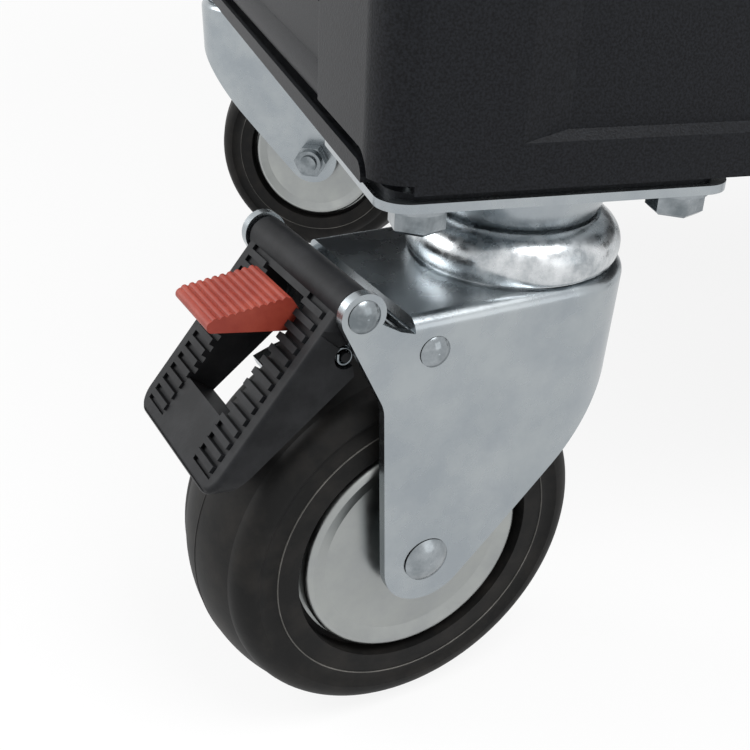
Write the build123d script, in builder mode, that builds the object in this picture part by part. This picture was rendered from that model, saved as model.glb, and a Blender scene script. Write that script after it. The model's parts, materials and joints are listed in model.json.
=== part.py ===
from build123d import *

import os
from math import cos, pi, radians, sin, sqrt, tan

os.makedirs("parts", exist_ok=True)

# A rolling tool chest: a folded steel cabinet with sliding drawers, a moulded top tray and a push handle,
# on two braked swivel casters under the handle end and two rigid casters under the other end.
# Frame: origin on the floor under the middle of the cabinet, +X to the handle end, +Y to the back, +Z up.
# All sizes are in millimetres.

# Cabinet
cabinet_width = 680.0
cabinet_depth = 458.0
body_sheet = 1.2
corner_radius = 12.0
corner_lift = 2.7
corner_notch = 11.0
fold_radius = 2.4
stile_width = 63.0
stile_return = 15.0
front_flange = 28.0
front_return = 20.0
side_recess = 4.0
skirt_gap = 4.0
pan_sheet = 1.5
pan_pad = 1.8
pan_pad_inset = 3.0
pan_lip_height = 5.2
pan_lip_setback = 13.0
pan_lip_round = 4.5
lip_end_gap = 4.0
rail_height = 25.0
rail_nose_radius = 6.5
rail_nose_drop = 4.0
panel_gap = 4.0
top_rail_height = 29.0

# Pressed recess in the back panel
recess_side_margin = 40.0
recess_end_margin = 12.7
recess_side_slope = 14.0
recess_end_slope = 2.2
recess_depth = 3.5

# Drawers, counted from the top
shallow_drawers = 4
deep_drawers = 2
shallow_height = 80.0
deep_height = 168.0
drawer_gap = 4.0
drawer_side_gap = 2.5
drawer_sheet = 1.2
front_depth = 18.0
front_edge_radius = 2.5
tray_back_gap = 50.0
tray_rise = 5.0
tray_drop = 13.0
pull_sheet = 2.0
pull_reach = 17.0
pull_lip = 11.0
pull_flange = 24.0
pull_margin = 14.0
pull_radius = 3.0

# Drawer slides
channel_width = 11.0
channel_height = 30.0
channel_sheet = 1.5
channel_length = 396.0
channel_setback = 5.0
slide_centre = 33.0
slide_clearance = 0.3
tray_side_gap = 2.5
upright_depth = 25.0
upright_wall = 2.0

# Top tray and mat
top_overhang = 8.0
top_height = 35.0
top_floor = 5.0
top_wall = 7.0
top_corner_radius = 24.0
top_edge_radius = 2.5
mat_thickness = 3.0
mat_clearance = 0.6

# Push handle
handle_tube_diameter = 25.0
handle_tube_wall = 1.6
handle_reach = 62.0
handle_bend_radius = 42.0
handle_drop = 60.0
handle_fit = 0.1
socket_wall = 4.5
socket_length = 20.0
bracket_base = 6.0
bracket_width = 46.0
bracket_height = 84.0
bracket_corner = 12.0
bracket_bolt_spacing = 60.0
bracket_bolt_diameter = 8.0
bracket_bolt_head = 15.0
bracket_bolt_dome = 4.0
bracket_bolt_grip = 8.0
bolt_hole_clearance = 0.3

# Lock in the front post
lock_drop = 70.0
lock_barrel_diameter = 18.0
lock_collar_diameter = 23.0
lock_collar = 2.5
lock_barrel_length = 13.0
lock_core_diameter = 11.0
lock_running_fit = 0.08
key_slot_width = 2.0
key_slot_depth = 3.0
key_slot_length = 8.0
lock_cam_thickness = 2.0
lock_lift = 8.0
lock_pin_diameter = 3.0
lock_bar_width = 6.0
lock_bar_sheet = 3.0
lock_slot_slack = 2.2
lock_bar_gap = 0.3

# Wheels
wheel_diameter = 127.0
tyre_width = 48.0
tread_crown = 3.6
shoulder_radius = 7.0
side_ring_outer_diameter = 94.0
side_ring_inner_diameter = 80.4
side_ring_inset = 0.2
sidewall_dip = 1.1
side_groove_depth = 6.0
tyre_bore_diameter = 77.0
tyre_fit = 0.05
disc_diameter = 75.0
disc_rim_offset = 23.4
disc_dish = 1.4
disc_rim_round = 2.4
disc_flat_share = 0.82
hub_boss_diameter = 18.0
hub_boss_offset = 25.6
axle_diameter = 10.0
axle_running_fit = 0.08

# Caster plate, swivel head and fastenings
plate_level = 177.0
plate_thickness = 2.6
plate_length = 104.0
plate_width = 68.6
plate_corner = 9.0
plate_bolt_spacing_x = 78.0
plate_bolt_spacing_y = 48.0
plate_bolt_diameter = 8.0
plate_bolt_head = 14.2
plate_bolt_head_height = 6.2
plate_bolt_reach = 6.0
plate_bolt_turn = 25.0
plate_bolt_chamfer = 0.9
washer_diameter = 18.0
washer_thickness = 1.6
caster_inset_x = 54.2
caster_inset_y = 33.3
rear_caster_turn = 12.3
front_caster_turn = 152.0
cup_top_diameter = 56.0
cup_bottom_diameter = 42.4
cup_depth = 16.2
cup_bow = 0.9
ring_diameter = 62.6
ring_bulge = 0.9
ring_mouth_diameter = 49.4
ring_height = 14.2
ring_race_clearance = 0.3
ring_belly_share = 0.2
ring_undercut = 0.8
ring_undercut_depth = 1.2
kingpin_diameter = 12.0
kingpin_head_diameter = 22.0
kingpin_head = 3.0
kingpin_running_fit = 0.08

# Swivel fork, seen from the side with the swivel axis at zero and the wheel trailing along +X
trail = 41.2
fork_sheet = 3.0
fork_half_width = 32.5
fork_lean = 2.2
crown_top = 148.0
crown_sheet = 3.5
crown_front = 52.0
crown_bend_radius = 4.0
crown_depth = 6.0
fork_rear_shift = 2.5
rear_back_z = 127.0
tip_radius = 15.1
tip_drop = 0.3
tip_back = 0.8
tip_rear_angle = 224.0
tip_front_angle = -4.0
front_bend_z = 122.3
front_bend_x = 59.9
front_bend_radius = 12.0
ear_radius = 6.5
ear_front_angle = -26.5
pivot_x = 67.8
pivot_z = 152.2
notch_x = 56.5
notch_z = 145.5
rivet_diameter = 6.0
rivet_head_diameter = 9.3
rivet_dome = 1.9
stop_rivet_x = 45.2
stop_rivet_z = 137.2
axle_head_diameter = 14.8
axle_dome = 2.6
axle_nut_size = 17.0
axle_nut_height = 8.0
axle_nut_collar = 3.0
axle_nut_collar_inset = 1.0
axle_tail = 2.0
head_clearance = 0.3
axle_head_clearance = 0.5

# Rigid fork
rigid_leg_top = 56.0
rigid_leg_half_gap = 26.2
rigid_tip_radius = 16.0

# Brake pedal, its grip bars and its window
brake_travel = 8.0
pedal_half_width = 28.4
pedal_slope = 51.2
pedal_face_offset = 4.2
pedal_length = 64.8
pedal_barrel_radius = 5.7
pedal_plate = 3.0
pedal_wall = 2.5
pedal_nose_x = 104.5
pedal_nose_z = 103.6
pedal_heel_x = 67.8
pedal_heel_z = 132.9
pedal_step_x = 69.1
pedal_step_z = 139.0
pedal_corner_radius = 6.0
pedal_edge_radius = 1.6
pedal_block = 16.5
pedal_heel_drop = 12.0
pedal_nose_wall = 6.0
slit_end_x = 79.1
slit_end_z = 147.9
slit_depth = 0.9
window_half_width = 12.5
window_start = 5.9
window_end = 45.6
grip_bars = 14
grip_start = 4.5
grip_end = 58.5
grip_outer = 23.4
grip_recess = 1.1
grip_margin = 0.7
grip_height = 0.8
grip_bar_share = 0.5
groove_width = 0.8
groove_depth = 0.6
groove_inset = 2.2

# Steel brake lever on the pedal's pin, with the shoe that presses on the tread
lever_half_width = 10.0
lever_eye_radius = 4.4
lever_arm_width = 4.0
lever_arm_low = 124.5
lever_clearance = 0.4
shoe_half_width = 12.0
shoe_thickness = 3.0
shoe_gap = 0.4
shoe_front_angle = 67.0
shoe_rear_angle = 80.0

# Red release tab
tab_half_width = 11.7
tab_pivot_x = 76.9
tab_pivot_z = 143.2
tab_root_radius = 2.4
tab_shoulder_x = 78.9
tab_shoulder_z = 149.9
tab_shoulder_radius = 0.8
tab_tip_x = 101.0
tab_tip_z = 146.4
tab_tip_radius = 1.7
tab_ribs = 10
tab_rib_radius = 1.0
tab_rib_sink = 0.4
trunnion_radius = 1.2
trunnion_reach = 1.8

# Brake return spring, on a post beside the near skirt
spring_x = 70.5
spring_z = 139.0
spring_wire = 0.9
spring_mean_radius = 2.2
spring_turns = 3
spring_pitch = 1.4
spring_pocket_radius = 3.4
spring_pocket_depth = 5.5
spring_post_radius = 1.4
spring_end_clearance = 0.3
spring_tail = 1.5

# Levels and places that follow from the sizes above
half_width = cabinet_width / 2
half_depth = cabinet_depth / 2
body_bottom = plate_level + pan_pad
pan_top = body_bottom + pan_sheet
stile_bottom = body_bottom + pan_lip_height + skirt_gap
rail_top = stile_bottom + rail_height
panel_bottom = rail_top + panel_gap
drawer_bottom = panel_bottom
drawer_heights = [shallow_height] * shallow_drawers + [deep_height] * deep_drawers
drawer_stack = sum(drawer_heights) + drawer_gap * (len(drawer_heights) - 1)
top_rail_bottom = drawer_bottom + drawer_stack + drawer_gap
body_top = top_rail_bottom + top_rail_height
front_opening = half_width - front_flange
stile_edge = half_depth - stile_width
upright_inner = front_opening
upright_outer = half_width - stile_return
channel_outer = upright_inner
channel_inner = channel_outer - channel_width
tray_half_width = channel_inner - tray_side_gap
front_half_width = front_opening - drawer_side_gap
front_back = -half_depth + front_depth
tray_length = cabinet_depth - front_depth - tray_back_gap
channel_front = front_back + channel_setback
wheel_radius = wheel_diameter / 2
swivel_x = half_width - caster_inset_x
swivel_y = half_depth - caster_inset_y
handle_level = body_top - handle_drop
handle_end_y = stile_edge + stile_width / 2
handle_bolts_z = [handle_level - bracket_bolt_spacing / 2, handle_level + bracket_bolt_spacing / 2]
lock_x = half_width - front_flange / 2
lock_z = body_top - lock_drop
ring_top = crown_top + ring_height
cup_bottom = plate_level - plate_thickness - cup_depth
pedal_along = (cos(radians(pedal_slope)), -sin(radians(pedal_slope)))
pedal_out = (sin(radians(pedal_slope)), cos(radians(pedal_slope)))


def save(part, name):
    """Label a finished piece and write it under its name."""
    part.label = name
    export_step(part, f"parts/{name}.step")


def folded_sheet(points, radii, thickness, side):
    """A bent strip of sheet seen on its edge: a path with rounded folds and the sheet on one side of it."""
    with BuildSketch() as strip:
        with BuildLine():
            fold = FilletPolyline(*points, radius=radii)
            offset(fold, amount=thickness, side=side)
        make_face()
    return strip.sketch


def fork_half_at(z):
    """Half the outside width of the swivel fork at height z; the legs lean in towards the axle."""
    return fork_half_width - (crown_top - z) * tan(radians(fork_lean))


def on_circle(x, z, radius, angle):
    """A point on a circle in the side view."""
    return (x + radius * cos(radians(angle)), z + radius * sin(radians(angle)))


def pedal_point(along, out):
    """A point (x, z) at a distance along the pedal's face from the pivot and a height above the face."""
    height = pedal_face_offset + out
    x = pivot_x + along * pedal_along[0] + height * pedal_out[0]
    z = pivot_z + along * pedal_along[1] + height * pedal_out[1]
    return (x, z)


# Back panel, folded round both rear corners into the rear stiles, with a pressed recess
recess_half_x = half_width - recess_side_margin
recess_low = body_bottom + recess_end_margin
recess_high = body_top - recess_end_margin
recess_middle = (recess_low + recess_high) / 2
recess_height = recess_high - recess_low


def recess_form(start_depth, end_depth, grow):
    """The pressed form between two depths behind the back's face, grown by the sheet on its inner side."""
    with BuildPart() as form:
        for depth, share in ((start_depth, 0), (end_depth, 1)):
            level = Plane(origin=(0, half_depth - depth, recess_middle), x_dir=(1, 0, 0), z_dir=(0, -1, 0))
            with BuildSketch(level):
                Rectangle(
                    2 * (recess_half_x - recess_side_slope * share + grow),
                    recess_height - 2 * recess_end_slope * share + 2 * grow,
                )
        loft()
    return form.part


def skirt_cut(end_sign):
    """The relief under a stile round the end of the floor pan's lip, and the short notch under its corner."""
    inner = end_sign * (stile_edge - body_sheet)
    outer = end_sign * (half_depth - pan_lip_setback + lip_end_gap)
    low = body_bottom
    with BuildPart() as cut:
        with BuildSketch(Plane.YZ) as relief:
            with Locations(((inner + outer) / 2, (low + stile_bottom) / 2)):
                Rectangle(abs(outer - inner), stile_bottom - low)
            top_corners = relief.vertices().group_by(Axis.Y)[-1].sort_by(Axis.X)
            fillet(top_corners[-1 if end_sign > 0 else 0], radius=pan_lip_round + lip_end_gap / 2)
        extrude(amount=cabinet_width, both=True)
        with BuildSketch(Plane.XY.offset(body_bottom)):
            notch_y = end_sign * (half_depth - corner_notch / 2)
            for sign in (-1, 1):
                with Locations((sign * (half_width - corner_notch / 2), notch_y)):
                    Rectangle(corner_notch, corner_notch)
        extrude(amount=corner_lift)
    return cut.part


with BuildPart() as back_shell:
    with BuildSketch(Plane.XY.offset(body_bottom)):
        add(
            folded_sheet(
                [
                    (half_width - stile_return, stile_edge),
                    (half_width, stile_edge),
                    (half_width, half_depth),
                    (-half_width, half_depth),
                    (-half_width, stile_edge),
                    (-half_width + stile_return, stile_edge),
                ],
                [fold_radius, corner_radius, corner_radius, fold_radius],
                body_sheet,
                Side.LEFT,
            )
        )
    extrude(amount=body_top - body_bottom)
    add(recess_form(body_sheet / 2, recess_depth + body_sheet, body_sheet))
    add(recess_form(0, recess_depth, 0), mode=Mode.SUBTRACT)
    add(skirt_cut(1), mode=Mode.SUBTRACT)
    with BuildSketch(Plane.YZ.offset(half_width - corner_radius)):
        for bolt_z in handle_bolts_z:
            with Locations((handle_end_y, bolt_z)):
                Circle(bracket_bolt_diameter / 2 + bolt_hole_clearance)
    extrude(amount=2 * corner_radius, mode=Mode.SUBTRACT)
save(back_shell.part, "back_shell")


# Front posts, one folded strip each, with the lock's hole in the right one
def front_post(sign, has_handle):
    """One front post; the post on the handle end also has holes for a handle bracket and the lock."""
    with BuildPart() as post:
        with BuildSketch(Plane.XY.offset(pan_top)):
            add(
                folded_sheet(
                    [
                        (sign * (half_width - stile_return), -stile_edge),
                        (sign * half_width, -stile_edge),
                        (sign * half_width, -half_depth),
                        (sign * front_opening, -half_depth),
                        (sign * front_opening, -half_depth + front_return),
                    ],
                    [fold_radius, corner_radius, fold_radius],
                    body_sheet,
                    Side.RIGHT if sign > 0 else Side.LEFT,
                )
            )
        extrude(amount=body_top - pan_top)
        add(skirt_cut(-1), mode=Mode.SUBTRACT)
        if has_handle:
            with BuildSketch(Plane.YZ.offset(half_width - corner_radius)):
                for bolt_z in handle_bolts_z:
                    with Locations((-handle_end_y, bolt_z)):
                        Circle(bracket_bolt_diameter / 2 + bolt_hole_clearance)
            extrude(amount=2 * corner_radius, mode=Mode.SUBTRACT)
            with BuildSketch(Plane.XZ.offset(half_depth - corner_radius)):
                with Locations((lock_x, lock_z)):
                    Circle(lock_barrel_diameter / 2)
            extrude(amount=2 * corner_radius, mode=Mode.SUBTRACT)
    return post.part


save(front_post(1, True), "front_post_right")
save(front_post(-1, False), "front_post_left")


# Side panels, set back between the stiles, each with its lower edge folded in to the uprights
def side_panel(sign):
    """One side panel; sign gives the end of the cabinet."""
    face = half_width - side_recess
    with BuildPart() as panel:
        with BuildSketch(Plane.XZ.offset(-stile_edge)):
            add(
                folded_sheet(
                    [
                        (sign * upright_outer, panel_bottom),
                        (sign * face, panel_bottom),
                        (sign * face, body_top),
                    ],
                    [fold_radius],
                    body_sheet,
                    Side.LEFT if sign > 0 else Side.RIGHT,
                )
            )
        extrude(amount=2 * stile_edge)
    return panel.part


save(side_panel(1), "side_panel_right")
save(side_panel(-1), "side_panel_left")


# Lower rails between the stiles, with a rolled nose along the lower edge
def side_rail(sign):
    """One lower side rail: a flat web with returns to the uprights, above a rolled nose."""
    face = half_width - side_recess
    nose_x = half_width - body_sheet - rail_nose_radius
    nose_z = stile_bottom + rail_nose_radius - rail_nose_drop
    with BuildPart() as rail:
        with BuildSketch(Plane.XZ.offset(-stile_edge)):
            with Locations((sign * nose_x, nose_z)):
                Circle(rail_nose_radius)
            with Locations((sign * (face - body_sheet / 2), (nose_z + rail_top) / 2)):
                Rectangle(body_sheet, rail_top - nose_z)
            with Locations((sign * (upright_outer + face) / 2, rail_top - body_sheet / 2)):
                Rectangle(face - upright_outer, body_sheet)
            with Locations((sign * (upright_outer + nose_x) / 2, stile_bottom + body_sheet / 2)):
                Rectangle(nose_x - upright_outer, body_sheet)
            with Locations((sign * nose_x, nose_z)):
                Circle(rail_nose_radius - body_sheet, mode=Mode.SUBTRACT)
        extrude(amount=2 * stile_edge)
    return rail.part


with BuildPart() as side_rails:
    add(side_rail(1))
    add(side_rail(-1))
save(side_rails.part, "side_rails")

with BuildPart() as front_rails:
    for low, high in ((stile_bottom, rail_top), (top_rail_bottom, body_top)):
        with BuildSketch(Plane.YZ.offset(-front_opening)):
            add(
                folded_sheet(
                    [(front_back, high), (-half_depth, high), (-half_depth, low), (front_back, low)],
                    [fold_radius, fold_radius],
                    body_sheet,
                    Side.LEFT,
                )
            )
    extrude(amount=2 * front_opening)
save(front_rails.part, "front_rails")

# Floor pan: a flat sheet with a low lip up each end and a pad over each caster plate, drilled for the casters
caster_centres = [(x, y) for x in (-swivel_x, swivel_x) for y in (-swivel_y, swivel_y)]
bolt_places = [
    (x + sx * plate_bolt_spacing_x / 2, y + sy * plate_bolt_spacing_y / 2)
    for x, y in caster_centres
    for sx in (-1, 1)
    for sy in (-1, 1)
]

with BuildPart() as bottom_pan:
    with BuildSketch(Plane.XY.offset(body_bottom)):
        Rectangle(cabinet_width - 2 * corner_radius, cabinet_depth - 2 * body_sheet)
        Rectangle(cabinet_width, cabinet_depth - 2 * pan_lip_setback)
    extrude(amount=pan_sheet)
    with BuildSketch(Plane.XY.offset(plate_level)):
        with Locations(*caster_centres):
            RectangleRounded(plate_length - 2 * pan_pad_inset, plate_width - 2 * pan_pad_inset, plate_corner)
    extrude(amount=pan_pad)
    for end_x in (half_width - pan_sheet, -half_width):
        with BuildSketch(Plane.YZ.offset(end_x)) as lip:
            with Locations((0, body_bottom + pan_lip_height / 2)):
                Rectangle(cabinet_depth - 2 * pan_lip_setback, pan_lip_height)
            fillet(lip.vertices().group_by(Axis.Y)[-1], radius=pan_lip_round)
        extrude(amount=pan_sheet)
    with BuildSketch(Plane.XY.offset(plate_level)):
        with Locations(*bolt_places):
            Circle(plate_bolt_diameter / 2 + bolt_hole_clearance)
    extrude(amount=pan_pad + pan_sheet, mode=Mode.SUBTRACT)
save(bottom_pan.part, "bottom_pan")

# Uprights inside the cabinet that carry the drawer slides
upright_width = upright_outer - upright_inner
with BuildPart() as slide_uprights:
    with BuildSketch(Plane.XY.offset(pan_top)):
        for sx in (-1, 1):
            for sy in (-1, 1):
                middle_x = sx * (upright_inner + upright_width / 2)
                middle_y = sy * (stile_edge + body_sheet - upright_depth / 2)
                with Locations((middle_x, middle_y)):
                    Rectangle(upright_width, upright_depth)
                    Rectangle(
                        upright_width - 2 * upright_wall,
                        upright_depth - 2 * upright_wall,
                        mode=Mode.SUBTRACT,
                    )
    extrude(amount=body_top - pan_top)
save(slide_uprights.part, "slide_uprights")

# Drawers: levels from the top down
drawer_levels = []
level = top_rail_bottom
for height in drawer_heights:
    level = level - drawer_gap - height
    drawer_levels.append(level)

with BuildPart() as slide_channels:
    for level in drawer_levels:
        for sign in (-1, 1):
            middle_x = sign * (channel_inner + channel_width / 2)
            hollow_x = middle_x - sign * channel_sheet / 2
            with BuildSketch(Plane.XZ.offset(-channel_front)):
                with Locations((middle_x, level + slide_centre)):
                    Rectangle(channel_width, channel_height)
                with Locations((hollow_x, level + slide_centre)):
                    Rectangle(
                        channel_width - channel_sheet,
                        channel_height - 2 * channel_sheet,
                        mode=Mode.SUBTRACT,
                    )
            extrude(amount=-channel_length)
save(slide_channels.part, "slide_channels")


def drawer(level, height):
    """A folded drawer: front pan with rounded edges, open tray behind it and a runner along each side."""
    tray_height = height - tray_rise - tray_drop
    tray_middle_y = front_back + tray_length / 2
    runner_inner = tray_half_width - drawer_sheet
    runner_outer = channel_outer - channel_sheet - slide_clearance
    runner_height = channel_height - 2 * channel_sheet - 2 * slide_clearance
    with BuildPart() as box:
        with BuildSketch(Plane.XZ.offset(half_depth - front_depth)):
            with Locations((0, level + height / 2)):
                Rectangle(2 * front_half_width, height)
        extrude(amount=front_depth)
        fillet(box.faces().sort_by(Axis.Y)[0].edges(), radius=front_edge_radius)
        with BuildSketch(Plane.XZ.offset(half_depth - front_depth)):
            with Locations((0, level + height / 2)):
                Rectangle(2 * (front_half_width - drawer_sheet), height - 2 * drawer_sheet)
        extrude(amount=front_depth - drawer_sheet, mode=Mode.SUBTRACT)
        with BuildSketch(Plane.XY.offset(level + tray_rise)):
            with Locations((0, tray_middle_y)):
                Rectangle(2 * tray_half_width, tray_length)
        extrude(amount=tray_height)
        with BuildSketch(Plane.XZ.offset(half_depth - front_depth)):
            with Locations((0, level + tray_rise + tray_height / 2)):
                Rectangle(2 * front_half_width, tray_height)
        extrude(amount=-drawer_sheet)
        with BuildSketch(Plane.XY.offset(level + tray_rise + drawer_sheet)):
            with Locations((0, tray_middle_y)):
                Rectangle(2 * (tray_half_width - drawer_sheet), tray_length - 2 * drawer_sheet)
        extrude(amount=tray_height, mode=Mode.SUBTRACT)
        with BuildSketch(Plane.XZ.offset(-channel_front)):
            for sign in (-1, 1):
                with Locations((sign * (runner_inner + runner_outer) / 2, level + slide_centre)):
                    Rectangle(runner_outer - runner_inner, runner_height)
        extrude(amount=-(tray_length - 2 * channel_setback))
    return box.part


def drawer_pull(level, height):
    """An extruded finger pull: a flange on the drawer front, a shelf outwards and a lip turned down."""
    pull_top = level + height - front_edge_radius
    with BuildPart() as pull:
        with BuildSketch(Plane.YZ.offset(-(front_half_width - pull_margin))):
            add(
                folded_sheet(
                    [
                        (-half_depth, pull_top - pull_flange),
                        (-half_depth, pull_top),
                        (-half_depth - pull_reach, pull_top),
                        (-half_depth - pull_reach, pull_top - pull_lip),
                    ],
                    [pull_radius, pull_radius],
                    pull_sheet,
                    Side.LEFT,
                )
            )
        extrude(amount=2 * (front_half_width - pull_margin))
    return pull.part


for number, (level, height) in enumerate(zip(drawer_levels, drawer_heights), start=1):
    save(drawer(level, height), f"drawer_{number}")
    save(drawer_pull(level, height), f"drawer_{number}_pull")

# Top tray with a raised rim, and the mat that lies in it
with BuildPart() as top_tray:
    with BuildSketch(Plane.XY.offset(body_top)):
        RectangleRounded(
            cabinet_width + 2 * top_overhang, cabinet_depth + 2 * top_overhang, top_corner_radius
        )
    extrude(amount=top_height)
    fillet(top_tray.faces().sort_by(Axis.Z)[-1].edges(), radius=top_edge_radius)
    with BuildSketch(Plane.XY.offset(body_top + top_floor)):
        RectangleRounded(
            cabinet_width + 2 * (top_overhang - top_wall),
            cabinet_depth + 2 * (top_overhang - top_wall),
            top_corner_radius - top_wall,
        )
    extrude(amount=top_height, mode=Mode.SUBTRACT)
save(top_tray.part, "top_tray")

with BuildPart() as top_mat:
    with BuildSketch(Plane.XY.offset(body_top + top_floor)):
        RectangleRounded(
            cabinet_width + 2 * (top_overhang - top_wall - mat_clearance),
            cabinet_depth + 2 * (top_overhang - top_wall - mat_clearance),
            top_corner_radius - top_wall - mat_clearance,
        )
    extrude(amount=mat_thickness)
save(top_mat.part, "top_mat")

# Push handle: a bent tube in two socket brackets on the stiles
handle_start = half_width + bracket_base
handle_out = half_width + bracket_base + handle_reach
tube_radius = handle_tube_diameter / 2
with BuildPart() as push_handle:
    with BuildLine() as handle_path:
        FilletPolyline(
            (handle_start, -handle_end_y, handle_level),
            (handle_out, -handle_end_y, handle_level),
            (handle_out, handle_end_y, handle_level),
            (handle_start, handle_end_y, handle_level),
            radius=handle_bend_radius,
        )
    with BuildSketch(Plane.YZ.offset(handle_start)):
        with Locations((-handle_end_y, handle_level)):
            Circle(tube_radius)
            Circle(tube_radius - handle_tube_wall, mode=Mode.SUBTRACT)
    sweep()
save(push_handle.part, "push_handle")

with BuildPart() as handle_brackets:
    for end_y in (-handle_end_y, handle_end_y):
        with BuildSketch(Plane.YZ.offset(half_width)):
            with Locations((end_y, handle_level)):
                RectangleRounded(bracket_width, bracket_height, bracket_corner)
            for bolt_z in handle_bolts_z:
                with Locations((end_y, bolt_z)):
                    Circle(bracket_bolt_diameter / 2 + bolt_hole_clearance, mode=Mode.SUBTRACT)
        extrude(amount=bracket_base)
        with BuildSketch(Plane.YZ.offset(half_width + bracket_base)):
            with Locations((end_y, handle_level)):
                Circle(tube_radius + socket_wall)
                Circle(tube_radius + handle_fit, mode=Mode.SUBTRACT)
        extrude(amount=socket_length)
save(handle_brackets.part, "handle_brackets")


def domed_head(head_radius, dome):
    """A domed fastener head standing on the ground plane and rising along +Z."""
    sphere_radius = (head_radius**2 + dome**2) / (2 * dome)
    middle_height = dome - sphere_radius + sqrt(sphere_radius**2 - head_radius**2 / 4)
    with BuildPart() as head:
        with BuildSketch(Plane.XZ):
            with BuildLine():
                Line((0, 0), (head_radius, 0))
                ThreePointArc((head_radius, 0), (head_radius / 2, middle_height), (0, dome))
                Line((0, dome), (0, 0))
            make_face()
        revolve(axis=Axis.Z)
    return head.part


with BuildPart() as handle_bolts:
    bolt_head = domed_head(bracket_bolt_head / 2, bracket_bolt_dome)
    for end_y in (-handle_end_y, handle_end_y):
        for bolt_z in handle_bolts_z:
            add(bolt_head.moved(Location((half_width + bracket_base, end_y, bolt_z), (0, 90, 0))))
            with BuildSketch(Plane.YZ.offset(half_width - bracket_bolt_grip)):
                with Locations((end_y, bolt_z)):
                    Circle(bracket_bolt_diameter / 2)
            extrude(amount=bracket_bolt_grip + bracket_base)
save(handle_bolts.part, "handle_bolts")

# Lock: a fixed barrel in the right front post, a core that turns in it, and the bar that the core lifts
barrel_back = -half_depth + lock_barrel_length
with BuildPart() as lock_barrel:
    with BuildSketch(Plane.XZ.offset(half_depth)):
        with Locations((lock_x, lock_z)):
            Circle(lock_collar_diameter / 2)
    extrude(amount=lock_collar)
    with BuildSketch(Plane.XZ.offset(half_depth - lock_barrel_length)):
        with Locations((lock_x, lock_z)):
            Circle(lock_barrel_diameter / 2 - bolt_hole_clearance)
    extrude(amount=lock_barrel_length)
    with BuildSketch(Plane.XZ.offset(half_depth - lock_barrel_length)):
        with Locations((lock_x, lock_z)):
            Circle(lock_core_diameter / 2 + lock_running_fit)
    extrude(amount=lock_barrel_length + lock_collar, mode=Mode.SUBTRACT)
save(lock_barrel.part, "lock_barrel")

cam_front = barrel_back + head_clearance
cam_back = cam_front + lock_cam_thickness
with BuildPart() as lock_core:
    with BuildSketch(Plane.XZ.offset(half_depth + lock_collar)):
        with Locations((lock_x, lock_z)):
            Circle(lock_core_diameter / 2)
    extrude(amount=-(cam_back + half_depth + lock_collar))
    with BuildSketch(Plane.XZ.offset(-cam_back)):
        with Locations((lock_x, lock_z)):
            Circle(lock_core_diameter / 2)
        with Locations((lock_x - lock_lift, lock_z)):
            Circle(lock_pin_diameter)
        with Locations((lock_x - lock_lift / 2, lock_z)):
            Rectangle(lock_lift, 2 * lock_pin_diameter)
    extrude(amount=lock_cam_thickness)
    with BuildSketch(Plane.XZ.offset(-cam_back)):
        with Locations((lock_x - lock_lift, lock_z)):
            Circle(lock_pin_diameter / 2)
    extrude(amount=-(lock_bar_sheet + 2 * head_clearance))
    with BuildSketch(Plane.XZ.offset(half_depth + lock_collar - key_slot_depth)):
        with Locations((lock_x, lock_z)):
            Rectangle(key_slot_width, key_slot_length)
    extrude(amount=key_slot_depth, mode=Mode.SUBTRACT)
save(lock_core.part, "lock_core")

bar_front = cam_back + head_clearance
bar_left = front_opening + body_sheet + lock_bar_gap
bar_head_right = lock_x + lock_pin_diameter / 2 + lock_slot_slack
bar_head_height = lock_pin_diameter + 2 * lock_slot_slack + 2 * lock_bar_width
with BuildPart() as lock_bar:
    with BuildSketch(Plane.XZ.offset(-bar_front)):
        with Locations((bar_left + lock_bar_width / 2, (stile_bottom + lock_z) / 2)):
            Rectangle(lock_bar_width, lock_z - stile_bottom)
        with Locations(((bar_left + bar_head_right + lock_bar_width / 2) / 2, lock_z)):
            Rectangle(bar_head_right + lock_bar_width / 2 - bar_left, bar_head_height)
        slot_left = lock_x - lock_lift - lock_pin_diameter / 2 - lock_slot_slack / 2
        with Locations(((slot_left + bar_head_right) / 2, lock_z)):
            Rectangle(
                bar_head_right - slot_left,
                lock_pin_diameter + 2 * lock_slot_slack,
                mode=Mode.SUBTRACT,
            )
    extrude(amount=-lock_bar_sheet)
save(lock_bar.part, "lock_bar")

# Wheel, drawn about its axle at the floor-standing height: rubber tyre on a zinc-plated disc wheel centre
wheel_axis = Axis((0, 0, wheel_radius), (0, 1, 0))


def wheel_point(across, radius):
    """A point of a wheel section: distance from the middle plane and radius from the axle."""
    return (across, wheel_radius + radius)


def turned(points, arcs):
    """Revolve a section about the wheel's axle; arcs names a middle point for each rounded stretch."""
    with BuildPart() as form:
        with BuildSketch(Plane.YZ):
            with BuildLine():
                for start, end in zip(points, points[1:] + points[:1]):
                    if (start, end) in arcs:
                        middle = arcs[(start, end)]
                        ThreePointArc(wheel_point(*start), wheel_point(*middle), wheel_point(*end))
                    else:
                        Line(wheel_point(*start), wheel_point(*end))
            make_face()
        revolve(axis=wheel_axis)
    return form.part


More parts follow.
